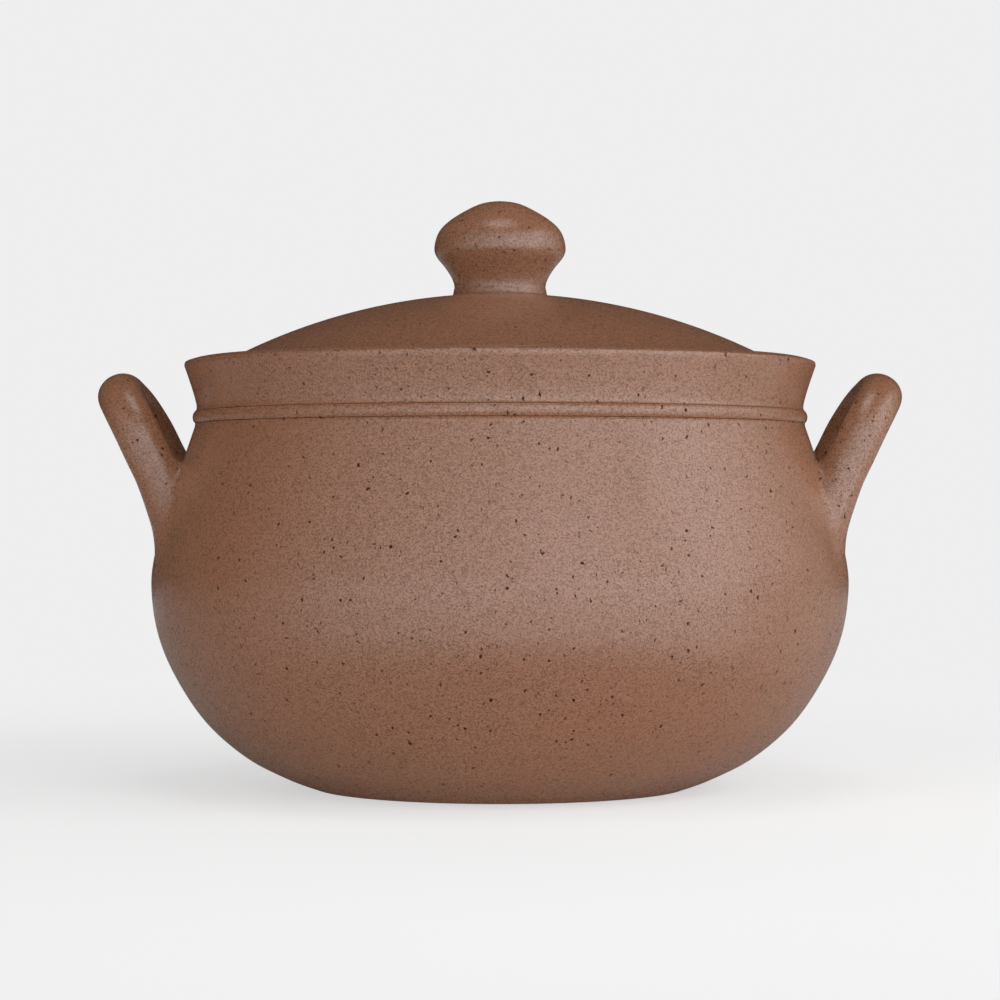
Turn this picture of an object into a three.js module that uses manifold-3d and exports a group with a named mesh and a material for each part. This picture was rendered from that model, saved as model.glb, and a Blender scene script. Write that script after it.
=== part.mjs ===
// Clay pot: a lidded stoneware casserole with two upright ear handles.
// Millimetres, +Z up. The origin is the centre of the flat foot, +X points at the right
// handle, and the pot is looked at along +Y.

import * as THREE from "three";
import { mergeVertices } from "three/addons/utils/BufferGeometryUtils.js";
import Module from "manifold-3d";

// Driving dimensions.
const FOOT_RADIUS = 69.8; // outer edge of the flat foot
const BELLY_RADIUS = 129.9; // widest place of the body
const BELLY_HEIGHT = 75; // height of the widest place
const NECK_RADIUS = 113.2; // narrowest place, above the rib
const NECK_HEIGHT = 135.3; // where the belly ends and the collar begins
const WALL = 7; // thickness of the belly wall and of the foot disc
const DISC_RADIUS = 66; // the foot disc, inside the belly wall
const LIP_RADIUS = 117.7; // outer edge of the rim
const LIP_HEIGHT = 157.7; // height of that edge
const LIP_CREST_RADIUS = 112.6; // top of the rim
const LIP_CREST_HEIGHT = 159.5;
const MOUTH_RADIUS = 108; // inner wall of the collar
const RIB_HEIGHT = 3.8; // applied bead round the neck
const RIB_PROUD = 1.5; // how far the rib stands out of the neck
const RIB_SUNK = 1.8; // how deep it is let into the neck
const SEAT_RADIUS = 97.5; // throat of the ledge that carries the lid
const SEAT_HEIGHT = 149.7; // top of the ledge
const LID_RADIUS = 106;
const LID_TOP = 184; // apex of the dome, under the knob
const DOME_RADIUS = 218; // radius of the sphere that the lid is cut from
const LID_THICKNESS = 6;
const LAND_WIDTH = 5.8; // flat land of the lid that rests on the ledge
const RING_RADIUS = 95.3; // locating ring under the lid
const RING_THICKNESS = 5;
const RING_BOTTOM = 144.5;
const KNOB_RADIUS = 24.6;
const KNOB_TOP = 219.1;
const KNOB_NECK_RADIUS = 17.1;
const HANDLE_REACH = 141.8; // centre line of the loop at its top, from the pot's axis
const HANDLE_TOP = 147;
const HANDLE_HALF_SPREAD = 27.5; // from the middle of the loop to the centre of a leg
const HANDLE_DEPTH = 8.2; // half thickness of the bar, away from the pot
const HANDLE_WIDTH = 7.2; // half thickness of the bar, along the loop
const FLARE_TOP = 127; // height where a leg starts to spread into its foot
const FLARE_BOTTOM = 88;
const FOOT_EXTRA_WIDTH = 6.5; // growth of the half thicknesses down to there
const FOOT_EXTRA_DEPTH = 1.4;
const GAP = 0.3; // joint line between pieces that touch
const LIP_ROUND = 1.1;

// Fineness of the round surfaces.
const TURNS = 60;
const KNOB_TURNS = 36;
const BODY_STEPS = 22;
const WALL_STEPS = 11;
const DOME_STEPS = 9;
const INSIDE_STEPS = 6;
const KNOB_STEPS = 16;
const BAR_SIDES = 14;
const BAR_STEPS = 40;

const point = (radius, height) => new THREE.Vector2(radius, height);

// Heights of the inside and outside of the dome, which are spheres about one centre.
const domeCentre = LID_TOP - DOME_RADIUS;
const domeHeight = (radius, inset = 0) =>
  domeCentre + Math.sqrt((DOME_RADIUS - inset) ** 2 - radius ** 2);

// The outer line of the body, from the foot to the neck.
const bodyLine = new THREE.SplineCurve([
  point(FOOT_RADIUS, 0),
  point(80.4, 4),
  point(95.4, 12),
  point(110, 25),
  point(121.2, 42),
  point(127.6, 58),
  point(BELLY_RADIUS, BELLY_HEIGHT),
  point(128.4, 88),
  point(125, 101),
  point(120.4, 115),
  point(116, 128),
  point(NECK_RADIUS + 0.3, NECK_HEIGHT),
]);

// A point of the body line moved out by an amount, square to the line.
function offsetPoint(curve, share, amount) {
  const place = curve.getPoint(share);
  const along = curve.getTangent(share);
  return point(place.x + along.y * amount, place.y - along.x * amount);
}

function offsetLine(curve, amount, steps) {
  const line = [];
  for (let i = 0; i <= steps; i++)
    line.push(offsetPoint(curve, i / steps, amount));
  return line;
}

// Points of an arc about a centre, in the plane of the profile.
function arc(centreRadius, centreHeight, radius, fromDegrees, toDegrees, steps) {
  const line = [];
  for (let i = 0; i <= steps; i++) {
    const angle = THREE.MathUtils.degToRad(
      THREE.MathUtils.lerp(fromDegrees, toDegrees, i / steps),
    );
    line.push(
      point(
        centreRadius + radius * Math.cos(angle),
        centreHeight + radius * Math.sin(angle),
      ),
    );
  }
  return line;
}

// A turned solid about +Z. The profile starts and ends on the axis, or closes on itself.
function turned(profile, turns = TURNS) {
  const ring = profile[0].x > 0 ? [...profile, profile[0]] : profile;
  return new THREE.LatheGeometry(ring, turns).rotateX(Math.PI / 2);
}

function material(colour, roughness) {
  return new THREE.MeshStandardMaterial({
    color: colour,
    roughness,
    metalness: 0,
  });
}

function piece(name, geometry, colour, roughness = 0.62) {
  const mesh = new THREE.Mesh(geometry, material(colour, roughness));
  mesh.name = name;
  return mesh;
}

// Foot: the disc that the pot stands on.
function baseDisc() {
  return turned([
    point(0, 0),
    point(DISC_RADIUS, 0),
    point(DISC_RADIUS, WALL - 0.4),
    point(DISC_RADIUS - 0.6, WALL),
    point(0, WALL),
  ]);
}

// Belly: the hollow wall from the foot to the neck, open at both ends.
function bellyWall() {
  const outer = offsetLine(bodyLine, 0, BODY_STEPS);
  const inner = offsetLine(bodyLine, -WALL, WALL_STEPS).filter(
    (place) =>
      place.x > DISC_RADIUS + GAP + 0.5 && place.y < NECK_HEIGHT - 1.5,
  );
  const throat = NECK_RADIUS - WALL + 0.6;
  return turned([
    ...outer,
    point(throat, NECK_HEIGHT),
    ...inner.reverse(),
    point(DISC_RADIUS + GAP, WALL - 0.4),
    point(DISC_RADIUS + GAP, 0),
  ]);
}

// Collar: the flared neck, with a recess for the rib and a lip that falls outwards.
function collar() {
  const foot = NECK_HEIGHT + GAP;
  const recess = NECK_RADIUS - RIB_SUNK - GAP;
  const shelf = foot + RIB_HEIGHT + 2 * GAP;
  const flare = new THREE.QuadraticBezierCurve(
    point(NECK_RADIUS, shelf),
    point(NECK_RADIUS + 0.2, shelf + 4.6),
    point(LIP_RADIUS, LIP_HEIGHT - LIP_ROUND),
  );
  return turned([
    point(recess, foot),
    point(recess, shelf),
    ...flare.getPoints(6),
    ...arc(LIP_RADIUS - LIP_ROUND, LIP_HEIGHT - 0.4, LIP_ROUND, 0, 75, 3),
    point(LIP_CREST_RADIUS, LIP_CREST_HEIGHT),
    point(LIP_CREST_RADIUS - 1.9, LIP_CREST_HEIGHT - 0.5),
    point(MOUTH_RADIUS + 0.6, LIP_CREST_HEIGHT - 3),
    point(MOUTH_RADIUS, LIP_CREST_HEIGHT - 7),
    point(MOUTH_RADIUS, foot + 5),
    point(NECK_RADIUS - WALL + 0.6, foot),
  ]);
}

// Rib: a bead of clay laid round the neck, rounded on its outside.
function neckRib() {
  const bottom = NECK_HEIGHT + 2 * GAP;
  const inside = NECK_RADIUS - RIB_SUNK;
  const bead = arc(0, 0, 1, -80, 80, 6).map((place) =>
    point(
      NECK_RADIUS - 0.1 + (RIB_PROUD + 0.1) * place.x,
      bottom + RIB_HEIGHT / 2 + (RIB_HEIGHT / 2) * place.y,
    ),
  );
  return turned([
    point(inside, bottom),
    ...bead,
    point(inside, bottom + RIB_HEIGHT),
  ]);
}

// Seat: the ledge inside the collar, sloped underneath.
function lidSeat() {
  const back = MOUTH_RADIUS - GAP;
  return turned([
    point(back, SEAT_HEIGHT - 9),
    point(back, SEAT_HEIGHT),
    point(SEAT_RADIUS + 0.8, SEAT_HEIGHT),
    point(SEAT_RADIUS, SEAT_HEIGHT - 0.8),
    point(SEAT_RADIUS, SEAT_HEIGHT - 4),
  ]);
}

// Lid: a shell cut from a sphere, with a rounded edge and a flat land under it.
function lidDome() {
  const bottom = SEAT_HEIGHT + GAP;
  const edge = LID_RADIUS - 1.4;
  const outside = [];
  for (let i = 0; i <= DOME_STEPS; i++) {
    const radius = (edge * i) / DOME_STEPS;
    outside.push(point(radius, domeHeight(radius)));
  }
  const land = LID_RADIUS - 0.6 - LAND_WIDTH;
  const inside = [];
  for (let i = 0; i <= INSIDE_STEPS; i++) {
    const radius = (land - 1.4) * (1 - i / INSIDE_STEPS);
    inside.push(point(radius, domeHeight(radius, LID_THICKNESS)));
  }
  return turned(
    [
      ...outside,
      point(LID_RADIUS - 0.4, domeHeight(edge) - 1),
      point(LID_RADIUS, domeHeight(edge) - 2.2),
      point(LID_RADIUS, bottom + 0.7),
      point(LID_RADIUS - 0.6, bottom),
      point(land, bottom),
      ...inside,
    ].reverse(),
  );
}

// Locating ring: it hangs inside the ledge and keeps the lid from sliding off.
function lidRing() {
  const inner = RING_RADIUS - RING_THICKNESS;
  return turned([
    point(inner, domeHeight(inner, LID_THICKNESS + GAP)),
    point(inner, RING_BOTTOM + 1),
    point(inner + 1, RING_BOTTOM),
    point(RING_RADIUS - 1, RING_BOTTOM),
    point(RING_RADIUS, RING_BOTTOM + 1),
    point(RING_RADIUS, domeHeight(RING_RADIUS, LID_THICKNESS + GAP)),
  ]);
}

// Knob: a mushroom with a waist that spreads on to the lid.
function lidKnob() {
  const line = new THREE.SplineCurve([
    point(KNOB_NECK_RADIUS + 0.3, 185.3),
    point(KNOB_NECK_RADIUS, 187),
    point(18, 190),
    point(20.5, 194),
    point(23.8, 198.2),
    point(KNOB_RADIUS, 201.8),
    point(23.1, 207),
    point(19.6, 211),
    point(13.5, 215),
    point(7, 218),
    point(0, KNOB_TOP),
  ]);
  const spread = KNOB_NECK_RADIUS + 1.3;
  const sole = (radius) => point(radius, domeHeight(radius) + GAP);
  return turned(
    [
      sole(0),
      sole(spread / 2),
      sole(spread),
      point(spread - 0.8, domeHeight(spread) + 1),
      ...line.getPoints(KNOB_STEPS),
    ],
    KNOB_TURNS,
  );
}

// Centre line of the right handle: down one leg into the wall, over the top, down the other.
function handleLine() {
  const leg = [
    [111, 1.06, 78],
    [115.8, 1.05, 92],
    [120.9, 1.03, 106],
    [125, 1.01, 116],
    [129.3, 1, 124.6],
    [133.4, 0.96, 133],
    [138.2, 0.74, 141.4],
    [141.2, 0.4, 145.8],
  ];
  const place = ([x, spread, z], side) =>
    new THREE.Vector3(x, side * spread * HANDLE_HALF_SPREAD, z);
  return new THREE.CatmullRomCurve3([
    ...leg.map((step) => place(step, -1)),
    new THREE.Vector3(HANDLE_REACH, 0, HANDLE_TOP),
    ...leg.reverse().map((step) => place(step, 1)),
  ]);
}

// How far a foot has spread at a height: 0 up the leg, 1 where it has sunk in the wall.
function footSpread(height) {
  const share = THREE.MathUtils.clamp(
    (FLARE_TOP - height) / (FLARE_TOP - FLARE_BOTTOM),
    0,
    1,
  );
  return share * share * (2 - share);
}

// Right handle: an oval bar along its centre line, with spread feet, cut by the body.
function handle(wasm, body) {
  const path = handleLine();
  const tilt = new THREE.Vector3(1, 0, -0.5).normalize();
  const places = [];
  for (let i = 0; i <= BAR_STEPS; i++) {
    const centre = path.getPointAt(i / BAR_STEPS);
    const along = path.getTangentAt(i / BAR_STEPS);
    const side = new THREE.Vector3().crossVectors(along, tilt).normalize();
    const depth = new THREE.Vector3().crossVectors(side, along).normalize();
    const spread = footSpread(centre.z);
    const halfDepth = HANDLE_DEPTH + FOOT_EXTRA_DEPTH * spread;
    const halfWidth = HANDLE_WIDTH + FOOT_EXTRA_WIDTH * spread;
    for (let j = 0; j < BAR_SIDES; j++) {
      const angle = (2 * Math.PI * j) / BAR_SIDES;
      places.push(
        centre
          .clone()
          .addScaledVector(depth, halfDepth * Math.cos(angle))
          .addScaledVector(side, halfWidth * Math.sin(angle)),
      );
    }
  }
  const geometry = barGeometry(places, path);
  return cut(wasm, geometry, body);
}

// A closed skin over rings of points, with a fan at each end.
function barGeometry(places, path) {
  const positions = places.flatMap((place) => place.toArray());
  const first = places.length;
  positions.push(...path.getPoint(0).toArray(), ...path.getPoint(1).toArray());
  const faces = [];
  for (let j = 0; j < BAR_SIDES; j++) {
    const next = (j + 1) % BAR_SIDES;
    for (let i = 0; i < BAR_STEPS; i++) {
      const a = i * BAR_SIDES + j;
      const b = i * BAR_SIDES + next;
      faces.push(a, b, b + BAR_SIDES, a, b + BAR_SIDES, a + BAR_SIDES);
    }
    const last = BAR_STEPS * BAR_SIDES;
    faces.push(first, next, j, first + 1, last + j, last + next);
  }
  return new THREE.BufferGeometry()
    .setAttribute("position", new THREE.Float32BufferAttribute(positions, 3))
    .setIndex(faces);
}

function solid(wasm, geometry) {
  const bare = geometry.clone();
  bare.deleteAttribute("normal");
  bare.deleteAttribute("uv");
  const merged = mergeVertices(bare, 1e-3);
  return new wasm.Manifold(
    new wasm.Mesh({
      numProp: 3,
      vertProperties: merged.attributes.position.array,
      triVerts: new Uint32Array(merged.index.array),
    }),
  );
}

// What is left of a geometry outside a cutter.
function cut(wasm, geometry, cutter) {
  const parts = solid(wasm, geometry).subtract(cutter).decompose();
  const kept = parts.reduce((a, b) => (a.volume() > b.volume() ? a : b));
  const mesh = kept.getMesh();
  return new THREE.BufferGeometry()
    .setAttribute(
      "position",
      new THREE.BufferAttribute(new Float32Array(mesh.vertProperties), 3),
    )
    .setIndex(new THREE.BufferAttribute(mesh.triVerts, 1));
}

// The space that the body fills, grown by the joint line, with the collar above it.
function bodySpace(wasm) {
  const outer = offsetLine(bodyLine, GAP, BODY_STEPS);
  outer[0].y = 0;
  return solid(
    wasm,
    turned([
      point(0, outer[0].y),
      ...outer,
      point(NECK_RADIUS, NECK_HEIGHT + 6),
      point(0, NECK_HEIGHT + 6),
    ]),
  );
}

async function build() {
  const wasm = await Module();
  wasm.setup();
  const pot = new THREE.Group();
  const body = new THREE.Group();
  body.add(
    piece("base_disc", baseDisc(), 0x94705b),
    piece("belly_wall", bellyWall(), 0x9d7864),
    piece("collar", collar(), 0xa17d69),
    piece("neck_rib", neckRib(), 0x9f7a66),
    piece("lid_seat", lidSeat(), 0x8d6a57, 0.7),
  );
  const ear = handle(wasm, bodySpace(wasm));
  const right = piece("handle_right", ear, 0x9d7763);
  const left = piece("handle_left", ear.clone(), 0x97725e);
  left.rotation.z = Math.PI;
  body.add(right, left);
  const lid = new THREE.Group();
  lid.add(
    piece("lid_dome", lidDome(), 0x94705c),
    piece("lid_ring", lidRing(), 0x8d6a57, 0.7),
    piece("lid_knob", lidKnob(), 0x9a7560),
  );
  pot.add(body, lid);
  return pot;
}

export default await build();
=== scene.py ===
"""Looks of the clay pot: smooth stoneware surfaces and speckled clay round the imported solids.

Profile points are in millimetres, as a potter would give them, and MM turns them into the
metres that Blender objects take.
"""

import logging
import math
from dataclasses import dataclass, field
from enum import Enum
from functools import cached_property
from typing import Any, Sequence

import bpy
import numpy as np
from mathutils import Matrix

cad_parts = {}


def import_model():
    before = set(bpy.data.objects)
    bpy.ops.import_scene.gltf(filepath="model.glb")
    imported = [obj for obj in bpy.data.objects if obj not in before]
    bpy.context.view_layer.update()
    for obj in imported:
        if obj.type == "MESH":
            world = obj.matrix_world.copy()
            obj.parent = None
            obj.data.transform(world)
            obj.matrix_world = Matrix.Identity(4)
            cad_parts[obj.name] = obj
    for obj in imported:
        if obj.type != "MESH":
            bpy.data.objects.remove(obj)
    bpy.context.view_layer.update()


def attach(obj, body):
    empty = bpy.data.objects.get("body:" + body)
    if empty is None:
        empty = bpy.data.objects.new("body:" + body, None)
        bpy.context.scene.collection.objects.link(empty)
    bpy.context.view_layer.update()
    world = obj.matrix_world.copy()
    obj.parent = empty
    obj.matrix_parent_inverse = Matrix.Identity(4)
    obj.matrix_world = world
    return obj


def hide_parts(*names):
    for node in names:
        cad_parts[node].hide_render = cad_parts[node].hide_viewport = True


LOG = logging.getLogger("clay_pot")
MM = 0.001

# The photograph: a level camera in front of the pot, its axis in the middle of the frame.
FRAME_PIXELS = 1000
PIXEL = 0.375 * MM  # width of a pixel in the plane of the pot's axis
CAMERA_PIXELS = 3000  # distance from the camera to that plane, in those pixels
HORIZON_ROW = 500
FOOT_ROW = 785.3  # row of the foot's plane at the axis
SENSOR = 36.0

FULL_TURN = 2 * math.pi
BLOCK = 20000  # points measured at a time, so that the arrays of distances stay small

# Sizes in mm that the pot and the lid share.
GAP = 0.3  # joint line between two nodes
SEAT_HEIGHT = 149.7  # top of the ledge that the lid rests on

# Steps round the axis.
HIDDEN_TURNS = 192  # foot disc, ledge and locating ring
NECK_TURNS = 288  # collar and rib
DOME_TURNS = 256
KNOB_TURNS = 128

Array = np.ndarray
Triple = tuple[float, float, float]
Colour = Triple


class Body(Enum):
    """The two pieces that come apart in the hand."""

    POT = "pot"
    LID = "lid"


class Slot(Enum):
    """The record's material slots."""

    BODY = "clay_body"
    HANDLE = "clay_handle"
    LID = "clay_lid"
    INSIDE = "clay_inside"
    FOOT = "clay_foot"


# Curves and surfaces.


def spline(points: Sequence[Sequence[float]], steps: int) -> Array:
    """A smooth line through points.

    Between two neighbours it is the Catmull-Rom cubic, whose slope at a point is half
    the step from the point before to the point after.

    Args:
        points: Places that the line passes, in order.
        steps: Number of equal steps of the parameter over the whole line.

    Returns:
        An array of steps + 1 places.
    """
    p = np.asarray(points, float)
    t = np.linspace(0, len(p) - 1, steps + 1)
    i = np.minimum(t.astype(int), len(p) - 2)
    w = (t - i)[:, None]
    before = p[np.maximum(i - 1, 0)]
    start, end = p[i], p[i + 1]
    after = p[np.minimum(i + 2, len(p) - 1)]
    v0, v1 = (end - before) / 2, (after - start) / 2
    return (
        (2 * start - 2 * end + v0 + v1) * w**3
        + (-3 * start + 3 * end - 2 * v0 - v1) * w**2
        + v0 * w
        + start
    )


def arc(centre: Sequence[float], radius: float, start: float, end: float, steps: int) -> Array:
    """Points of a circle's arc in the profile plane, at angles from start to end in degrees."""
    angle = np.radians(np.linspace(start, end, steps + 1))
    return np.c_[centre[0] + radius * np.cos(angle), centre[1] + radius * np.sin(angle)]


def bent(
    start: Sequence[float], corner: Sequence[float], end: Sequence[float], steps: int
) -> Array:
    """Points of the quadratic Bezier curve from start to end that heads for corner."""
    t = np.linspace(0, 1, steps + 1)[:, None]
    a, b, c = np.array(start), np.array(corner), np.array(end)
    return (1 - t) ** 2 * a + 2 * t * (1 - t) * b + t**2 * c


def run(line: Array) -> Array:
    """Distance along a line from its start to each of its points."""
    return np.r_[0, np.cumsum(np.linalg.norm(np.diff(line, axis=0), axis=1))]


def resampled(line: Array, steps: int) -> Array:
    """The same line in equal steps, the two ends kept."""
    along = run(line)
    even = np.linspace(0, along[-1], steps + 1)
    return np.stack([np.interp(even, along, line[:, k]) for k in range(line.shape[1])], 1)


def evened(line: Array, spacing: float) -> Array:
    """The same line with its points about one spacing apart, the two ends kept."""
    return resampled(line, max(2, math.ceil(run(line)[-1] / spacing)))


def straight(start: Sequence[float], end: Sequence[float], spacing: float) -> Array:
    """Points of a straight line about one spacing apart."""
    return evened(np.array([start, end], float), spacing)


def unit(vectors: Array) -> Array:
    """The same directions, one long."""
    return vectors / np.linalg.norm(vectors, axis=-1, keepdims=True)


def outward(line: Array) -> Array:
    """Unit vectors square to a profile that climbs, pointing away from the axis."""
    along = unit(np.gradient(line, axis=0))
    return np.c_[along[:, 1], -along[:, 0]]


def grid_faces(rows: int, columns: int, close_rows: bool) -> Array:
    """Quads between neighbouring rows of a grid whose columns run round and close.

    Args:
        rows: Number of rows of points.
        columns: Number of points in a row.
        close_rows: Whether the last row joins the first.

    Returns:
        An array of four indices a face.
    """
    i = np.arange(rows if close_rows else rows - 1)[:, None]
    j = np.arange(columns)[None, :]
    k, n = (i + 1) % rows, (j + 1) % columns
    quads = [i * columns + j, i * columns + n, k * columns + n, k * columns + j]
    return np.stack(quads, -1).reshape(-1, 4)


def fan(centre: int, ring: Array) -> Array:
    """Triangles from a centre point to a closed ring of points, in the ring's order."""
    return np.stack([np.full(len(ring), centre), ring, np.roll(ring, -1)], 1)


def clay_mesh(name: str, points: Array, faces: Sequence[Sequence[int]]) -> bpy.types.Object:
    """A smooth-shaded object at the origin.

    Args:
        name: The piece's name.
        points: Places in metres.
        faces: Indices of each face, anticlockwise seen from outside.

    Returns:
        The new object.
    """
    mesh = bpy.data.meshes.new(name)
    mesh.from_pydata(points.tolist(), [], faces)
    mesh.update()
    mesh.polygons.foreach_set("use_smooth", np.ones(len(mesh.polygons), bool))
    made = bpy.data.objects.new(name, mesh)
    bpy.context.scene.collection.objects.link(made)
    return made


def turned_points(profile: Array, angles: Array) -> Array:
    """Every profile point at every angle: (r cos a, r sin a, z), row by row."""
    r, z = profile[:, 0][:, None], profile[:, 1][:, None]
    x, y = r * np.cos(angles), r * np.sin(angles)
    return np.stack([x, y, np.broadcast_to(z, x.shape)], -1).reshape(-1, 3)


def turned(name: str, profile: Array, turns: int) -> bpy.types.Object:
    """A turned solid: the profile carried round the axis.

    Args:
        name: The piece's name.
        profile: Points (radius, height) in mm that run anticlockwise in the plane with the
            radius to the right. It closes on itself, or starts and ends on the axis.
        turns: Number of steps round the axis.

    Returns:
        The new object.
    """
    angles = np.linspace(0, FULL_TURN, turns, endpoint=False)
    on_axis = profile[0, 0] == 0
    middle = profile[1:-1] if on_axis else profile
    points = turned_points(middle, angles)
    faces = grid_faces(len(middle), turns, not on_axis).tolist()
    if on_axis:
        first, last = len(points), len(points) + 1
        ring = np.arange(turns)
        faces += fan(first, ring[::-1]).tolist()
        faces += fan(last, (len(middle) - 1) * turns + ring).tolist()
        points = np.r_[points, [[0, 0, profile[0, 1]], [0, 0, profile[-1, 1]]]]
    return clay_mesh(name, points * MM, faces)


# Shader arithmetic.


class Value:
    """A number socket that takes part in ordinary arithmetic."""

    def __init__(self, graph: "Graph", socket: bpy.types.NodeSocket) -> None:
        """Wraps an output socket of a graph."""
        self.graph = graph
        self.socket = socket

    def __add__(self, other: Any) -> "Value":
        """Sum."""
        return self.graph.math("ADD", self, other)

    def __sub__(self, other: Any) -> "Value":
        """Difference."""
        return self.graph.math("SUBTRACT", self, other)

    def __rsub__(self, other: Any) -> "Value":
        """Reflected difference."""
        return self.graph.math("SUBTRACT", other, self)

    def __mul__(self, other: Any) -> "Value":
        """Product."""
        return self.graph.math("MULTIPLY", self, other)

    __rmul__ = __mul__

    def __truediv__(self, other: Any) -> "Value":
        """Quotient."""
        return self.graph.math("DIVIDE", self, other)

    def __pow__(self, other: Any) -> "Value":
        """Power."""
        return self.graph.math("POWER", self, other)

    def clamped(self) -> "Value":
        """The value held between 0 and 1."""
        return self.graph.math("MINIMUM", self.graph.math("MAXIMUM", self, 0.0), 1.0)

    def eased(self) -> "Value":
        """The value held between 0 and 1, leaving both ends gently: v v (3 - 2 v)."""
        held = self.clamped()
        return held * held * (3 - 2 * held)


class Graph:
    """A material's node tree, built from typed nodes and arithmetic."""

    def __init__(self, owner: bpy.types.Material | bpy.types.World) -> None:
        """Empties the tree of a material or a world."""
        owner.use_nodes = True
        self.tree = owner.node_tree
        self.tree.nodes.clear()

    def node(self, kind: str, settings: dict[str, Any], inputs: dict[Any, Any]) -> bpy.types.Node:
        """Adds a node.

        Args:
            kind: The node's type name.
            settings: Its own settings, set first.
            inputs: Its sockets by name or number, each a constant, a socket or a Value.

        Returns:
            The node.
        """
        made = self.tree.nodes.new(kind)
        for key, value in settings.items():
            setattr(made, key, value)
        for key, value in inputs.items():
            source = value.socket if isinstance(value, Value) else value
            if isinstance(source, bpy.types.NodeSocket):
                self.tree.links.new(source, made.inputs[key])
            else:
                made.inputs[key].default_value = source
        return made

    def math(self, operation: str, first: Any, second: Any) -> Value:
        """A Math node on two numbers."""
        made = self.node("ShaderNodeMath", {"operation": operation}, {0: first, 1: second})
        return Value(self, made.outputs[0])

    def place(self) -> bpy.types.NodeSocket:
        """Object coordinates, in metres."""
        return self.node("ShaderNodeTexCoord", {}, {}).outputs["Object"]

    def noise(self, at: Any, size: float, detail: float) -> bpy.types.Node:
        """Cloudy noise whose blobs are about size metres across."""
        inputs = {"Vector": at, "Scale": 1 / size, "Detail": detail}
        return self.node("ShaderNodeTexNoise", {}, inputs)

    def number(self, node: bpy.types.Node, output: str | int = 0) -> Value:
        """One of a node's outputs as a Value."""
        return Value(self, node.outputs[output])

    def mixed(self, share: Any, first: Any, second: Any) -> bpy.types.NodeSocket:
        """A colour between two colours."""
        settings = {"data_type": "RGBA", "clamp_factor": True}
        made = self.node("ShaderNodeMix", settings, {0: share, 6: first, 7: second})
        return made.outputs[2]

    def vector(self, operation: str, first: Any, second: Any) -> bpy.types.NodeSocket:
        """A Vector Math node on two vectors."""
        made = self.node("ShaderNodeVectorMath", {"operation": operation}, {0: first, 1: second})
        return made.outputs[0]


def shade(colour: Colour) -> tuple[float, float, float, float]:
    """A colour given as screen values from 0 to 255, in the linear values that nodes take."""
    red, green, blue = (((c / 255 + 0.055) / 1.055) ** 2.4 for c in colour)
    return (red, green, blue, 1.0)


def grey(tone: float) -> tuple[float, float, float, float]:
    """A neutral colour in linear values."""
    return (tone, tone, tone, 1.0)


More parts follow.
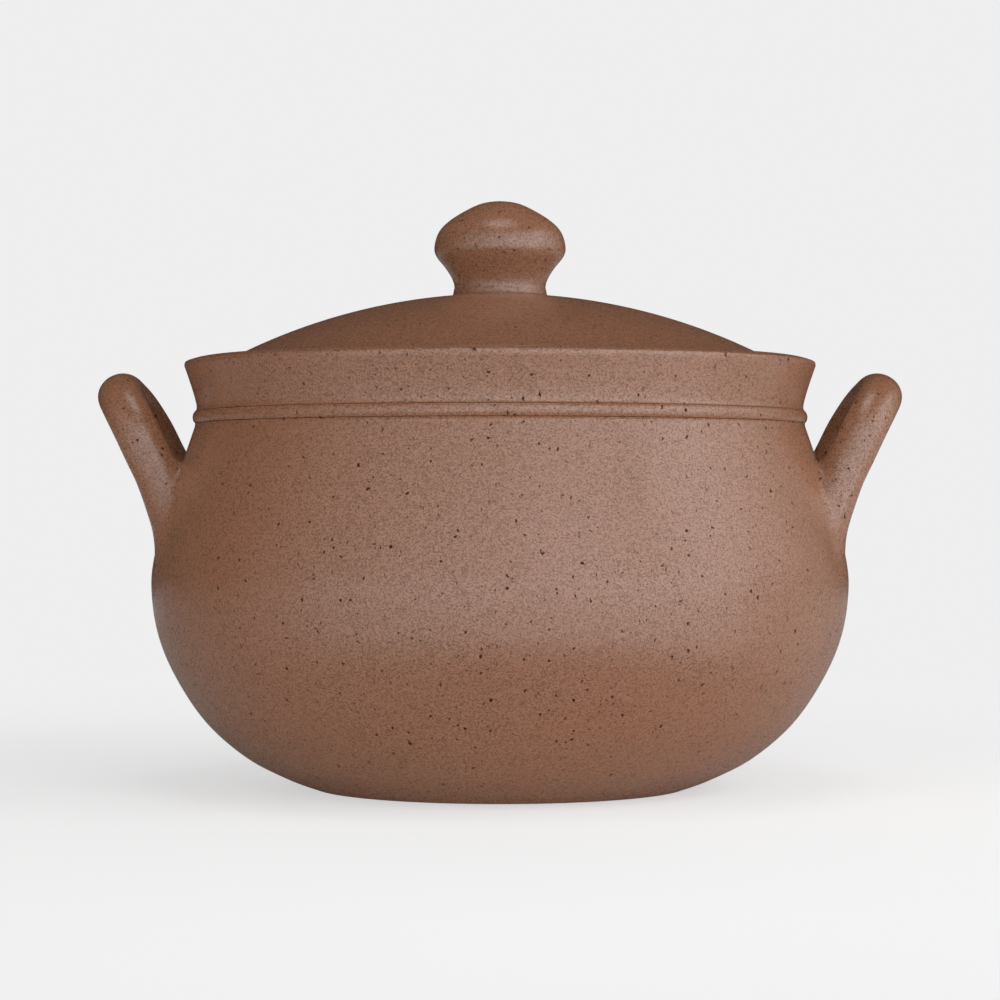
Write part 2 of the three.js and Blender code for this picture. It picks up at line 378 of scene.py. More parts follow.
@dataclass(frozen=True)
class Clay:
    """Unglazed stoneware: sandy two-tone grain, dark iron specks and warm clouds.

    Sizes, cells, depths and wobble_reach are in metres. The contrasts, slope, shares and
    the other numbers are plain factors, save coat_index, the coat's refractive index,
    and speck_rarity, a power.
    """

    name: str
    light: Colour = (160, 112, 85)
    dark: Colour = (128, 87, 63)
    red: Colour = (151, 94, 69)
    speck: Colour = (54, 25, 14)
    roughness: float = 0.32
    sheen: float = 0.6
    coat_index: float = 1.5
    flatness: float = 1.0
    grain_size: float = 0.00042
    grain_depth: float = 0.00012
    fine_size: float = 0.00045
    sand_size: float = 0.0011
    cloud_size: float = 0.055
    drift_size: float = 0.16
    grain_contrast: float = 1.5
    sand_contrast: float = 0.8
    grain_roughness: float = 0.16
    coat_slope: float = 1.6
    coat_middle: float = 0.6
    warmth: float = 0.3
    bump_strength: float = 0.55
    small_cell: float = 0.0019
    large_cell: float = 0.0032
    speck_reach: float = 0.19
    speck_rarity: float = 0.6
    speck_edge: float = 30.0
    speck_cover: float = 0.92
    speck_roughness: float = 0.4
    speck_metal: float = 0.8
    wobble_size: float = 0.0013
    wobble_reach: float = 0.0019

    def build(self) -> bpy.types.Material:
        """Builds the material.

        Each grain of sand is a cell with a random tone of its own, over coarser noise, and
        clouds are wide noise. Grains, clouds and specks give the colour. The lighter a grain,
        the glassier: that is the coat. The specks are rich in iron, so part metal, rougher
        and without coat. The height is fine noise, with the grains standing up in their
        middles and the specks sunk.

        Returns:
            The material.
        """
        material = bpy.data.materials.new(self.name)
        g = Graph(material)
        place = g.place()
        grains = {"Vector": place, "Scale": 1 / self.grain_size}
        cells = g.node("ShaderNodeTexVoronoi", {"feature": "F1"}, grains)
        tones = g.node("ShaderNodeSeparateColor", {}, {0: cells.outputs["Color"]})
        tone, edge = g.number(tones), g.number(cells, "Distance")
        fine = g.number(g.noise(place, self.fine_size, 0.0))
        sand = g.number(g.noise(place, self.sand_size, 1.0))
        cloud = g.number(g.noise(place, self.cloud_size, 3.0))
        drift = g.number(g.noise(place, self.drift_size, 1.0))
        sharp, soft = (tone - 0.5) * self.grain_contrast, (sand - 0.5) * self.sand_contrast
        grain = (sharp + soft + 0.5).clamped()
        warm = ((cloud * 0.6 + drift * 0.4 - 0.47) * 4.0).clamped()
        specks = self._specks(g, place)
        colour = g.mixed(grain, shade(self.dark), shade(self.light))
        colour = g.mixed(warm * self.warmth, colour, shade(self.red))
        colour = g.mixed(specks * self.speck_cover, colour, shade(self.speck))
        height = fine * 0.6 + sand * 0.3 - edge * 0.35 - specks * 0.3
        bump = {"Strength": self.bump_strength, "Distance": self.grain_depth, "Height": height}
        rough = (tone - 0.5) * self.grain_roughness + self.roughness
        coat = ((tone - 0.5) * self.coat_slope + self.coat_middle).clamped()
        surface = {
            "Base Color": colour,
            "Roughness": rough + specks * self.speck_roughness,
            "Metallic": specks * self.speck_metal,
            "Coat Weight": coat * (1 - specks),
            "Coat Roughness": self.roughness,
            "Coat IOR": self.coat_index,
            "Normal": g.node("ShaderNodeBump", {}, bump).outputs[0],
            "Specular IOR Level": self.sheen,
            "Diffuse Roughness": self.flatness,
        }
        shader = g.node("ShaderNodeBsdfPrincipled", {}, surface)
        g.node("ShaderNodeOutputMaterial", {}, {"Surface": shader.outputs[0]})
        return material

    def _specks(self, g: Graph, place: bpy.types.NodeSocket) -> Value:
        """The mask of faint small specks and strong larger ones.

        The coordinates are bent by fine noise first, so that no speck is round.

        Args:
            g: The graph that takes the nodes.
            place: The coordinates to read.

        Returns:
            1 inside a speck and 0 outside, with a soft edge.
        """
        wobble = g.noise(place, self.wobble_size, 1.0).outputs["Color"]
        centred = g.vector("SUBTRACT", wobble, (0.5, 0.5, 0.5))
        moved = g.vector("MULTIPLY", centred, (self.wobble_reach,) * 3)
        at = g.vector("ADD", place, moved)
        small = self._spots(g, at, self.small_cell, (1.0, 1.0, 1.0))
        large = self._spots(g, at, self.large_cell, (1.15, 1.0, 0.8))
        return (small * 0.8 + large).clamped()

    def _spots(self, g: Graph, at: bpy.types.NodeSocket, cell: float, stretch: Triple) -> Value:
        """Spots, one at most in each cell.

        A spot is the part of its cell nearer to the cell's seed than a radius: the cell's
        own random number to the power speck_rarity, times speck_reach. A higher power
        leaves fewer large spots.

        Args:
            g: The graph.
            at: Coordinates in metres.
            cell: Width of a cell in metres.
            stretch: Factors that shorten or lengthen a spot along X, Y and Z.

        Returns:
            The mask.
        """
        squeezed = g.vector("MULTIPLY", at, stretch)
        inputs = {"Vector": squeezed, "Scale": 1 / cell}
        cells = g.node("ShaderNodeTexVoronoi", {"feature": "F1"}, inputs)
        chance = g.node("ShaderNodeSeparateColor", {}, {0: cells.outputs["Color"]})
        radius = g.number(chance) ** self.speck_rarity * self.speck_reach
        return ((radius - g.number(cells, "Distance")) * self.speck_edge).clamped()


CLAY_BODY = Clay("stoneware_body")
CLAY_HANDLE = Clay("stoneware_handle")
# The lid's clay is a darker copy of the body's clay: painted shade for the dome, which faces up,
# away from the frontal lamps.
CLAY_LID_PAINTED_SHADE = Clay("stoneware_lid", light=(154, 107, 81), dark=(123, 83, 60))
CLAY_KNOB = Clay("stoneware_knob")
CLAY_INSIDE = Clay(
    "stoneware_inside", light=(146, 101, 77), dark=(113, 76, 55), roughness=0.6, grain_depth=0.0002
)
CLAY_FOOT = Clay(
    "stoneware_foot", light=(151, 105, 81), dark=(118, 80, 58), roughness=0.66, grain_depth=0.0002
)


def dress(piece: bpy.types.Object, finish: Clay, body: Body, node: str) -> None:
    """Gives a piece its clay, its body and the node it stands for.

    Args:
        piece: The new piece.
        finish: Its clay.
        body: The body that it rides on.
        node: The node that it stands for.
    """
    material = bpy.data.materials.get(finish.name) or finish.build()
    piece.data.materials.append(material)
    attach(piece, body.value)
    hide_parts(node)
    LOG.info("%s: %d faces, rides on %s", piece.name, len(piece.data.polygons), body.value)


# The pot.


@dataclass
class Handle:
    """The right ear loop: an oval bar up out of the wall, over the top and down again."""

    reach: float = 141.8
    top: float = 147.0
    half_spread: float = 27.5
    half_depth: float = 8.2
    half_width: float = 7.2
    extra_depth: float = 1.4
    extra_width: float = 6.5
    flare_top: float = 127.0
    flare_bottom: float = 88.0
    tilt: Triple = (1, 0, -0.5)
    fine_steps: int = 1200
    steps: int = 300
    sides: int = 56
    leg: tuple[Triple, ...] = (
        (111, 1.06, 78),
        (115.8, 1.05, 92),
        (120.9, 1.03, 106),
        (125, 1.01, 116),
        (129.3, 1.0, 124.6),
        (133.4, 0.96, 133),
        (138.2, 0.74, 141.4),
        (141.2, 0.4, 145.8),
    )

    @cached_property
    def line(self) -> Array:
        """The centre line in mm, evenly spaced: near leg, top and far leg."""
        near = np.array(self.leg) * [1, -self.half_spread, 1]
        far = (near * [1, -1, 1])[::-1]
        whole = np.r_[near, [[self.reach, 0, self.top]], far]
        return resampled(spline(whole, self.fine_steps), self.steps)

    @cached_property
    def along(self) -> Array:
        """Unit vectors along the centre line."""
        return unit(np.gradient(self.line, axis=0))

    @cached_property
    def section(self) -> Array:
        """The bar's section at each place of the line, eight numbers a row.

        They are the direction away from the pot, the direction across the bar, and the
        half thicknesses in these two directions. Below flare_top a leg spreads into its
        foot by s s (2 - s), where s goes from 0 there to 1 at flare_bottom.
        """
        across = unit(np.cross(self.along, np.array(self.tilt)))
        away = unit(np.cross(across, self.along))
        s = (self.flare_top - self.line[:, 2]) / (self.flare_top - self.flare_bottom)
        s = np.clip(s, 0, 1)
        spread = s * s * (2 - s)
        deep = self.half_depth + self.extra_depth * spread
        wide = self.half_width + self.extra_width * spread
        return np.c_[away, across, deep, wide]

    def distance(self, points: Array) -> Array:
        """About how far points are from the bar's skin, less than 0 inside it.

        The nearest place of the centre line is found, between two of its points, and the
        offset from it is measured against the oval section there: the radial distance to
        an oval is the offset's length times 1 - 1 / q, where q is 1 on the oval.

        Args:
            points: Places in mm.

        Returns:
            Distances in mm.
        """
        rows = np.c_[self.line, self.section]
        step = np.linalg.norm(self.line[1] - self.line[0])
        found = np.empty(len(points))
        for start in range(0, len(points), BLOCK):
            block = points[start : start + BLOCK]
            near = ((block[:, None, :] - self.line[None]) ** 2).sum(-1).argmin(1)
            shift = ((block - self.line[near]) * self.along[near]).sum(1) / step
            place = np.clip(near + shift, 0, self.steps - 1e-6)
            low = place.astype(int)
            w = (place - low)[:, None]
            row = rows[low] * (1 - w) + rows[low + 1] * w
            offset = block - row[:, :3]
            a = (offset * row[:, 3:6]).sum(1)
            b = (offset * row[:, 6:9]).sum(1)
            q = np.maximum(np.hypot(a / row[:, 9], b / row[:, 10]), 1e-3)
            found[start : start + BLOCK] = np.hypot(a, b) * (1 - 1 / q)
        return found

    def fibres(self) -> Array:
        """The bar's skin as a grid of places: one row a step, one column a side."""
        turn = np.linspace(0, FULL_TURN, self.sides, endpoint=False)
        away, across = self.section[:, None, 0:3], self.section[:, None, 3:6]
        deep = self.section[:, 6, None] * np.cos(turn)
        wide = self.section[:, 7, None] * np.sin(turn)
        return self.line[:, None] + away * deep[..., None] + across * wide[..., None]


@dataclass
class Pot:
    """The vessel: foot, belly, collar, rib, ledge and handles."""

    wall: float = 7.0
    disc_radius: float = 66.0
    neck_radius: float = 113.2
    neck_height: float = 135.3
    lip_radius: float = 117.7
    lip_height: float = 157.7
    crest_radius: float = 112.6
    crest_height: float = 159.5
    mouth_radius: float = 108.0
    rib_height: float = 3.8
    rib_depth: float = 1.5
    seat_radius: float = 97.5
    seat_height: float = SEAT_HEIGHT
    gap: float = GAP
    fillet: float = 5.2
    full_lift: float = 1.5
    extra_lift: float = 0.8
    bury: float = 3.0
    fade_depth: float = 1.5
    lift_rounds: int = 20
    lift_share: float = 0.8
    loop_rings: int = 181
    around: int = 336
    crowding: float = 0.3
    outer_spacing: float = 1.2
    inner_spacing: float = 3.0
    handle_side: float = 62.0
    handle_zone: tuple[float, float] = (62.0, 132.0)
    throat_step: float = 0.6
    foot_round: float = 0.8
    seat_round: float = 1.2
    lip_round: float = 1.1
    recess_depth: float = 2.1
    rib_margin: float = 0.16
    rib_bury: float = 1.8
    rib_half_arc: float = 66.0
    handle: Handle = field(default_factory=Handle)
    outline: tuple[tuple[float, float], ...] = (
        (69.8, 0),
        (80.4, 4),
        (95.4, 12),
        (110, 25),
        (121.2, 42),
        (127.6, 58),
        (129.88, 75),
        (128.4, 88),
        (125, 101),
        (120.4, 115),
        (116, 128),
        (113.5, 135.3),
    )

    @cached_property
    def body_line(self) -> Array:
        """The outer line of the belly in mm, from the foot up."""
        return spline(self.outline, 440)

    @property
    def throat(self) -> float:
        """Inner radius where the belly and the collar meet."""
        return self.neck_radius - self.wall + self.throat_step

    @property
    def collar_foot(self) -> float:
        """Height where the collar starts."""
        return self.neck_height + self.gap

    @property
    def shelf(self) -> float:
        """Height of the top of the recess that holds the rib."""
        return self.collar_foot + self.rib_height + 2 * self.gap

    def body_distance(self, points: Array) -> Array:
        """How far points are from the belly's outer surface in mm, less than 0 inside."""
        line = self.body_line[::2]
        normal = outward(line)
        place = np.c_[np.hypot(points[:, 0], points[:, 1]), points[:, 2]]
        found = np.empty(len(points))
        for start in range(0, len(points), BLOCK):
            block = place[start : start + BLOCK]
            near = ((block[:, None, :] - line[None]) ** 2).sum(-1).argmin(1)
            found[start : start + BLOCK] = ((block - line[near]) * normal[near]).sum(1)
        return found

    def field(self, points: Array) -> Array:
        """Distance to the belly and the bar together, with clay smoothed into the corner.

        Where the two distances differ by less than the fillet, the smaller one is lowered
        by a quarter of the fillet times the square of how nearly they agree.

        Args:
            points: Places in mm on the right side.

        Returns:
            The blended distances.
        """
        body, bar = self.body_distance(points), self.handle.distance(points)
        near = np.maximum(self.fillet - np.abs(body - bar), 0) / self.fillet
        return np.minimum(body, bar) - near * near * self.fillet / 4

    def lift(self, points: Array, normals: Array) -> Array:
        """How far points move out along their normals towards the smoothed surface.

        In the middle of the fillet that surface is a quarter of the fillet away from both
        skins. A point that has to move no further than full_lift, which is a little more,
        reaches it. Past that the lift levels off: with e the excess it is
        full_lift + extra_lift (1 - exp(-e / extra_lift)), so each skin dives under the
        other one where they meet.

        Args:
            points: Places in mm on the right side.
            normals: Unit vectors along which they move.

        Returns:
            The lifts in mm.
        """
        lift = np.zeros(len(points))
        for _ in range(self.lift_rounds):
            gap = self.field(points + normals * lift[:, None])
            lift = np.clip(lift - self.lift_share * gap, 0, self.fillet)
        excess = np.maximum(lift - self.full_lift, 0) / self.extra_lift
        return np.minimum(lift, self.full_lift) + self.extra_lift * (1 - np.exp(-excess))

    def foot(self) -> None:
        """The flat disc that the pot stands on."""
        r, z, bend = self.disc_radius, self.wall, self.foot_round
        profile = np.r_[
            [[0, 0]],
            straight((1, 0), (r, 0), 6),
            arc((r - bend, z - bend), bend, 0, 90, 5),
            straight((r - 1.5, z), (1, z), 6),
            [[0, z]],
        ]
        piece = turned("foot_disc", profile, HIDDEN_TURNS)
        dress(piece, CLAY_FOOT, Body.POT, "base_disc")

    def belly(self) -> None:
        """The wall, with clay drawn up round the feet of both handles.

        The columns stand closer together near the handles: the angle is u less crowding
        times sin 2u.
        """
        outer = evened(self.body_line, self.outer_spacing)
        outer[-1] = (self.neck_radius + 0.55, self.neck_height)
        inner = evened(self.body_line - outward(self.body_line) * self.wall, self.inner_spacing)
        edge = self.disc_radius + self.gap
        kept = (inner[:, 0] > edge + 0.6) & (inner[:, 1] < self.neck_height - 1.0)
        profile = np.r_[
            outer,
            [[self.throat, self.neck_height]],
            inner[kept][::-1],
            [[edge, self.wall - 0.4], [edge, 0]],
        ]
        u = np.linspace(0, FULL_TURN, self.around, endpoint=False)
        angles = u - self.crowding * np.sin(2 * u)
        points = turned_points(profile, angles)
        skin = points[: len(outer) * self.around]
        slope = outward(outer)
        normals = turned_points(slope, angles)
        low, high = self.handle_zone
        near = (np.abs(skin[:, 1]) < self.handle_side) & (skin[:, 2] > low) & (skin[:, 2] < high)
        side = np.where(skin[near, 0] < 0, -1.0, 1.0)[:, None] * [1, 0, 0] + [0, 1, 1]
        lift = self.lift(skin[near] * side, normals[near] * side)
        skin[near] += normals[near] * lift[:, None]
        faces = grid_faces(len(profile), self.around, True).tolist()
        piece = clay_mesh("belly", points * MM, faces)
        dress(piece, CLAY_BODY, Body.POT, "belly_wall")

    def collar(self) -> None:
        """The flared neck, its lip falling outwards, with a recess for the rib."""
        neck, foot, shelf = self.neck_radius, self.collar_foot, self.shelf
        back, recess, bend = self.throat, neck - self.recess_depth, self.lip_round
        lip = spline(
            [
                (self.lip_radius - 0.25, self.lip_height + 0.35),
                (self.lip_radius - 1.6, self.lip_height + 0.95),
                (self.crest_radius, self.crest_height),
                (self.crest_radius - 1.9, self.crest_height - 0.5),
                (self.mouth_radius + 0.6, self.crest_height - 3),
                (self.mouth_radius, self.crest_height - 7),
            ],
            36,
        )
        flare_end = (self.lip_radius, self.lip_height - bend)
        profile = np.r_[
            straight((back + 0.6, foot), (recess, foot), 1.5),
            [[recess, shelf]],
            bent((neck + 0.6, shelf), (neck + 0.05, shelf + 0.1), (neck, shelf + 1.2), 6),
            bent((neck, shelf + 1.6), (neck + 0.2, shelf + 4.6), flare_end, 24),
            arc((self.lip_radius - bend, self.lip_height - 0.4), bend, 8, 60, 8),
            lip,
            straight(lip[-1], (self.mouth_radius, foot + 5), 2)[1:],
            straight((self.mouth_radius, foot + 5), (back, foot), 2)[1:],
        ]
        piece = turned("collar_ring", profile, NECK_TURNS)
        dress(piece, CLAY_BODY, Body.POT, "collar")

    def rib(self) -> None:
        """The bead of clay laid round the neck, its section a flattened arc."""
        bottom, top = self.neck_height + self.rib_margin, self.shelf - self.rib_margin
        angle = np.radians(np.linspace(-self.rib_half_arc, self.rib_half_arc, 25))
        rise = np.sin(angle) / np.sin(angle[-1])
        bead = np.c_[
            self.neck_radius - 0.1 + (self.rib_depth + 0.1) * np.cos(angle),
            (bottom + top) / 2 + (top - bottom) / 2 * rise,
        ]
        inside = self.neck_radius - self.rib_bury
        profile = np.r_[[[inside, bottom]], bead, [[inside, top]]]
        piece = turned("rib_bead", profile, NECK_TURNS)
        dress(piece, CLAY_BODY, Body.POT, "neck_rib")

    def seat(self) -> None:
        """The ledge inside the collar, sloped underneath."""
        back, low = self.mouth_radius - self.gap, self.seat_height - 9
        bend = self.seat_round
        profile = np.r_[
            [[back, low], [back, self.seat_height]],
            arc((self.seat_radius + bend, self.seat_height - bend), bend, 90, 180, 6),
            straight((self.seat_radius, self.seat_height - 4), (back - 1, low + 0.4), 2),
        ]
        piece = turned("lid_ledge", profile, HIDDEN_TURNS)
        dress(piece, CLAY_INSIDE, Body.POT, "lid_seat")

    def loop_skin(self) -> Array:
        """The right loop's skin between the two places where it meets the wall.

        Each fibre of the bar runs from where it comes out of the surface that lies bury mm
        under the belly's to where it goes back in. The skin is then lifted to the smoothed
        surface, and less so where it is already under the belly's own surface.

        Returns:
            A grid of places in mm: rings, sides and coordinates.
        """
        fibres = self.handle.fibres()
        rows, sides = fibres.shape[:2]
        depth = self.body_distance(fibres.reshape(-1, 3)).reshape(rows, sides) + self.bury
        column = np.arange(sides)
        first = (depth > 0).argmax(0)
        last = rows - 1 - (depth[::-1] > 0).argmax(0)
        start = first - depth[first, column] / (depth[first, column] - depth[first - 1, column])
        end = last + depth[last, column] / (depth[last, column] - depth[last + 1, column])
        place = start + (end - start) * np.linspace(0, 1, self.loop_rings)[:, None]
        low = place.astype(int)
        w = (place - low)[..., None]
        skin = fibres[low, column] * (1 - w) + fibres[low + 1, column] * w
        round_bar = np.roll(skin, -1, 1) - np.roll(skin, 1, 1)
        normals = unit(np.cross(round_bar, np.gradient(skin, axis=0)))
        outwards = skin - skin.mean(1, keepdims=True)
        normals *= np.sign((normals * outwards).sum())
        flat, directions = skin.reshape(-1, 3), normals.reshape(-1, 3)
        share = np.clip(1 + self.body_distance(flat) / self.fade_depth, 0, 1)
        lift = self.lift(flat, directions) * share
        return (flat + directions * lift[:, None]).reshape(skin.shape)

    def loops(self) -> None:
        """Both handles, the left one the right one turned half round the axis."""
        skin = self.loop_skin()
        rings, sides = skin.shape[:2]
        points = np.r_[skin.reshape(-1, 3), skin[[0, -1]].mean(1)]
        count, ring = rings * sides, np.arange(sides)
        faces = grid_faces(rings, sides, False).tolist()
        faces += fan(count, ring[::-1]).tolist()
        faces += fan(count + 1, (rings - 1) * sides + ring).tolist()
        for name, node, sign in (("ear_right", "handle_right", 1), ("ear_left", "handle_left", -1)):
            piece = clay_mesh(name, points * [sign, sign, 1] * MM, faces)
            dress(piece, CLAY_HANDLE, Body.POT, node)

    def build(self) -> None:
        """Makes and dresses every piece of the pot."""
        self.foot()
        self.belly()
        self.collar()
        self.rib()
        self.seat()
        self.loops()


# The lid.


@dataclass
class Lid:
    """The domed lid with its ring and knob."""

    radius: float = 106.0
    top: float = 184.0
    dome_radius: float = 218.0
    thickness: float = 6.0
    gap: float = GAP
    seat_height: float = SEAT_HEIGHT
    land: float = 5.8
    ring_radius: float = 95.3
    ring_thickness: float = 5.0
    ring_bottom: float = 144.5
    ring_round: float = 1.2
    edge_inset: float = 1.8
    sole_radius: float = 18.4
    sole_rise: float = 0.02
    waist_radius: float = 17.5
    knob: tuple[tuple[float, float], ...] = (
        (17.4, 185.3),
        (17.1, 187),
        (18, 190),
        (20.5, 194),
        (23.8, 198.2),
        (24.6, 201.8),
        (23.1, 207),
        (19.6, 211),
        (13.5, 215),
        (7, 218),
        (0, 219.1),
    )

    def height(self, radius: Any, inset: float = 0.0) -> Any:
        """Height of the dome, or of a sphere inset from it, over a radius."""
        centre = self.top - self.dome_radius
        return centre + np.sqrt((self.dome_radius - inset) ** 2 - np.square(radius))

    def dome(self) -> None:
        """The shell, with a rounded edge and a flat land that rests on the ledge."""
        bottom = self.seat_height + self.gap
        edge = self.radius - self.edge_inset
        drop = float(self.height(edge))
        r = np.linspace(1.5, edge, 60)
        rim = spline(
            [
                (edge + 0.9, drop - 0.6),
                (self.radius - 0.2, drop - 1.7),
                (self.radius, drop - 3.0),
                (self.radius, bottom + 0.8),
                (self.radius - 0.7, bottom),
            ],
            24,
        )
        land = self.radius - 0.6 - self.land
        s = np.linspace(land - 1.4, 1.5, 40)
        profile = np.r_[
            [[0, self.top]],
            np.c_[r, self.height(r)],
            rim,
            [[land, bottom]],
            np.c_[s, self.height(s, self.thickness)],
            [[0, self.top - self.thickness]],
        ]
        piece = turned("lid_shell", profile[::-1], DOME_TURNS)
        # The dome takes the darker clay copy, which paints shade on it.
        dress(piece, CLAY_LID_PAINTED_SHADE, Body.LID, "lid_dome")

    def ring(self) -> None:
        """The locating ring that hangs inside the ledge."""
        inner, outer = self.ring_radius - self.ring_thickness, self.ring_radius
        bend, inset = self.ring_round, self.thickness + self.gap
        low = self.ring_bottom + bend
        profile = np.r_[
            [[inner, self.height(inner, inset)]],
            arc((inner + bend, low), bend, 180, 270, 6),
            arc((outer - bend, low), bend, 270, 360, 6),
            [[outer, self.height(outer, inset)]],
        ]
        piece = turned("locating_ring", profile, HIDDEN_TURNS)
        dress(piece, CLAY_INSIDE, Body.LID, "lid_ring")

    def grip(self) -> None:
        """The mushroom knob, whose waist spreads on to the dome in a small fillet."""
        sole = np.array([2.0, 8.0, 14.0, self.sole_radius - 0.3])
        fillet = bent(
            (self.sole_radius, self.height(self.sole_radius) + 0.06),
            (self.waist_radius, self.height(self.waist_radius) + 0.1),
            self.knob[0],
            8,
        )
        profile = np.r_[
            [[0, self.top + self.sole_rise]],
            np.c_[sole, self.height(sole) + self.sole_rise],
            fillet[:-1],
            spline(self.knob, 90),
        ]
        piece = turned("knob", profile, KNOB_TURNS)
        dress(piece, CLAY_KNOB, Body.LID, "lid_knob")

    def build(self) -> None:
        """Makes and dresses every piece of the lid."""
        self.dome()
        self.ring()
        self.grip()


# The studio.


AIM_HEIGHT = 0.1  # metres from the foot up to the place on the axis that the lamps face


@dataclass(frozen=True)
class Lamp:
    """A softbox aimed at the belly from a distance.

    Its bearing is in degrees to the right of the camera, its elevation in degrees above
    the belly, its width and height in metres and its power in watts. Where it isn't
    mirrored it lights the clay without a highlight, so the lamps behind the pot put no
    bright line round it.
    """

    name: str
    bearing: float
    elevation: float
    power: float
    width: float = 0.595
    height: float = 0.92
    distance: float = 1.4
    mirrored: bool = True

    def build(self) -> None:
        """Makes the lamp, turned so that it looks at the belly."""
        data = bpy.data.lights.new(self.name, "AREA")
        data.shape = "RECTANGLE"
        data.size, data.size_y, data.energy = self.width, self.height, self.power
        lamp = bpy.data.objects.new(self.name, data)
        bearing, rise = math.radians(self.bearing), math.radians(self.elevation)
        reach = self.distance * math.cos(rise)
        lamp.location = (
            reach * math.sin(bearing),
            -reach * math.cos(bearing),
            AIM_HEIGHT + self.distance * math.sin(rise),
        )
        lamp.rotation_euler = (math.pi / 2 - rise, 0.0, bearing)
        lamp.visible_glossy = self.mirrored
        bpy.context.scene.collection.objects.link(lamp)


LAMPS = (
    Lamp("left_side_high", -74.0, 24.0, 0.44),
    Lamp("left_side_low", -74.0, -12.0, 0.7),
    Lamp("left_high", -50.0, 24.0, 1.04),
    Lamp("left_low", -50.0, -12.0, 2.1),
    Lamp("left_front_high", -26.0, 24.0, 1.64),
    Lamp("left_front_low", -26.0, -12.0, 2.8),
    Lamp("front_high", -2.0, 24.0, 2.04),
    Lamp("front_low", -2.0, -12.0, 3.2),
    Lamp("front_key_high", 22.0, 24.0, 3.12),
    Lamp("front_key_low", 22.0, -12.0, 3.8),
    Lamp("right_front_high", 46.0, 24.0, 2.4),
    Lamp("right_front_low", 46.0, -12.0, 3.9),
    Lamp("right_key_high", 70.0, 24.0, 3.36),
    Lamp("right_key_low", 70.0, -12.0, 3.7),
    Lamp("right_high", 94.0, 24.0, 1.96),
    Lamp("right_low", 94.0, -12.0, 1.04),
    Lamp("right_side", 118.0, 5.0, 0.96, height=1.6),
    Lamp("high_front", 0.0, 58.0, 0.5, 0.6, 0.5),
    Lamp("top", 0.0, 82.0, 2.4, 0.6, 0.6),
    Lamp("back_left", -150.0, 8.0, 4.0, 0.6, 0.9, mirrored=False),
    Lamp("back_middle", 180.0, 8.0, 4.0, 0.6, 0.9, mirrored=False),
    Lamp("back_right", 150.0, 8.0, 4.0, 0.6, 0.9, mirrored=False),
)
AMBIENT = 0.02


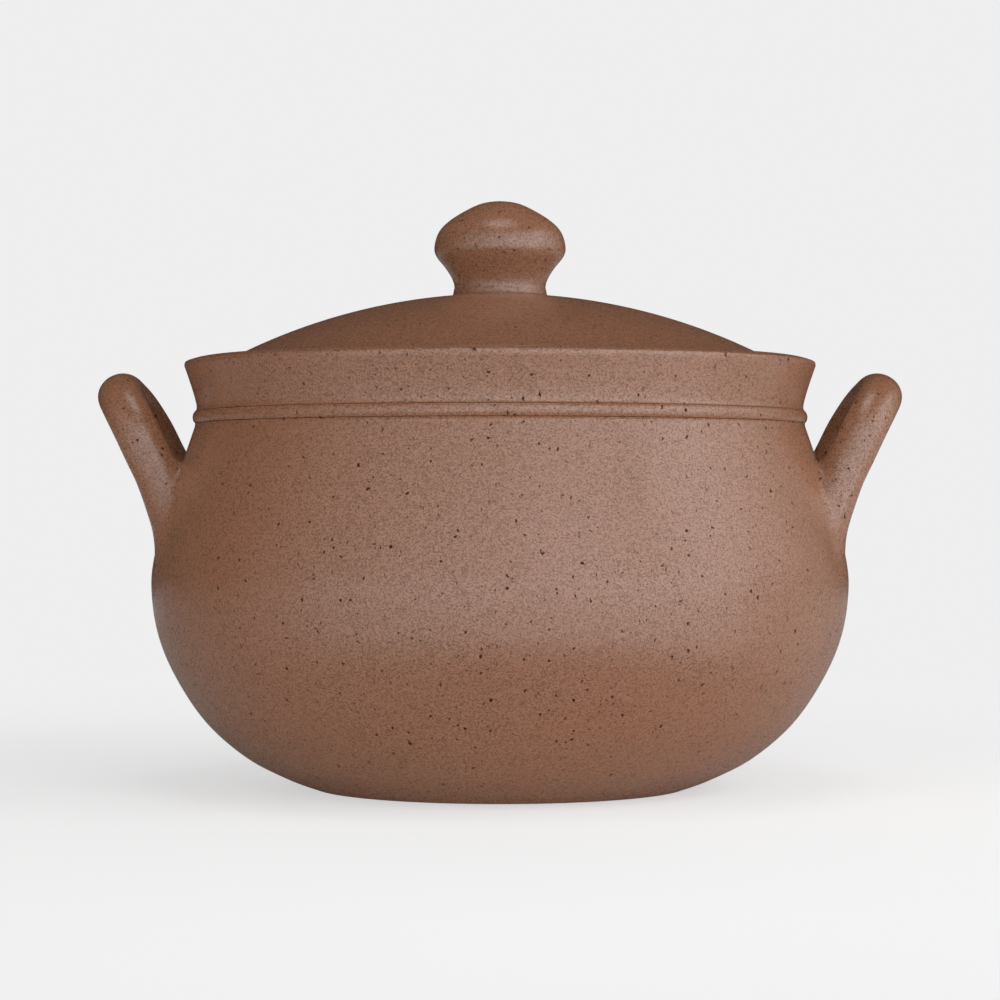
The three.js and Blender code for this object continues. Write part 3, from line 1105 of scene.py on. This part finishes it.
@dataclass
class Studio:
    """A level camera, a pale floor that fades into a pale world, and soft lamps."""

    floor_size: float = 12.0
    floor_drop: float = 0.0002
    pale: float = 0.86
    floor_tone: float = 0.5
    floor_glow: float = 0.56
    bounce_tone: float = 0.85
    clear_share: float = 0.5
    fade_start: float = 0.16
    fade_length: float = 0.55

    def camera(self) -> None:
        """The photograph's camera, level with the middle of the frame."""
        data = bpy.data.cameras.new("camera")
        data.sensor_width = SENSOR
        data.lens = SENSOR * CAMERA_PIXELS / FRAME_PIXELS
        data.clip_start, data.clip_end = 0.05, 60.0
        camera = bpy.data.objects.new("camera", data)
        height = (FOOT_ROW - HORIZON_ROW) * PIXEL
        camera.location = (0.0, -CAMERA_PIXELS * PIXEL, height)
        camera.rotation_euler = (math.pi / 2, 0.0, 0.0)
        bpy.context.scene.collection.objects.link(camera)
        bpy.context.scene.camera = camera

    def floor(self) -> None:
        """The floor, which keeps the pot's shadow and fades to the world's colour.

        Seen by the camera it is its lit paint with a steady glow added, and the fade goes
        by the distance from the pot. To other rays it is a half clear, half pale sheet, so
        the softboxes, which reach down past it, light the underside of the belly as well.
        """
        half = self.floor_size / 2
        corners = np.array([[-half, -half, 0], [half, -half, 0], [half, half, 0], [-half, half, 0]])
        floor = clay_mesh("floor", corners - [0, 0, self.floor_drop], [[0, 1, 2, 3]])
        material = bpy.data.materials.new("floor")
        g = Graph(material)
        length = g.node("ShaderNodeVectorMath", {"operation": "LENGTH"}, {0: g.place()})
        far = g.number(length, "Value")
        share = ((far - self.fade_start) / self.fade_length).eased()
        paint = g.node("ShaderNodeBsdfDiffuse", {}, {"Color": grey(self.floor_tone)})
        bounce = g.node("ShaderNodeBsdfDiffuse", {}, {"Color": grey(self.bounce_tone)})
        clear = g.node("ShaderNodeBsdfTransparent", {}, {})
        sheet = self._mixed(g, self.clear_share, bounce, clear)
        glow = g.node("ShaderNodeEmission", {}, {"Color": grey(self.floor_glow)})
        even = g.node("ShaderNodeEmission", {}, {"Color": grey(self.pale)})
        lit = g.node("ShaderNodeAddShader", {}, {0: paint.outputs[0], 1: glow.outputs[0]})
        faded = self._mixed(g, share, lit, even)
        path = g.node("ShaderNodeLightPath", {}, {})
        shown = self._mixed(g, g.number(path, "Is Camera Ray"), sheet, faded)
        g.node("ShaderNodeOutputMaterial", {}, {"Surface": shown.outputs[0]})
        floor.data.materials.append(material)

    def world(self) -> None:
        """A world that looks pale to the camera and lights the pot weakly."""
        world = bpy.data.worlds.new("world")
        bpy.context.scene.world = world
        g = Graph(world)
        dim = g.node("ShaderNodeBackground", {}, {0: grey(1.0), 1: AMBIENT})
        pale = g.node("ShaderNodeBackground", {}, {0: grey(self.pale)})
        path = g.node("ShaderNodeLightPath", {}, {})
        seen = self._mixed(g, g.number(path, "Is Camera Ray"), dim, pale)
        g.node("ShaderNodeOutputWorld", {}, {0: seen.outputs[0]})

    @staticmethod
    def _mixed(g: Graph, share: Any, first: bpy.types.Node, second: bpy.types.Node) -> Any:
        """A shader between two shaders."""
        inputs = {0: share, 1: first.outputs[0], 2: second.outputs[0]}
        return g.node("ShaderNodeMixShader", {}, inputs)

    def build(self) -> None:
        """Makes the camera, the floor, the world and the lamps."""
        self.camera()
        self.floor()
        self.world()
        for lamp in LAMPS:
            lamp.build()
            LOG.info("lamp %s", lamp.name)
        bpy.context.scene.view_settings.view_transform = "Standard"


def main() -> None:
    """Loads the frame, then builds the studio, the pot and the lid."""
    logging.basicConfig(level=logging.INFO, format="%(name)s: %(message)s")
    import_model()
    Studio().build()
    Pot().build()
    Lid().build()


if __name__ == "__main__":
    main()
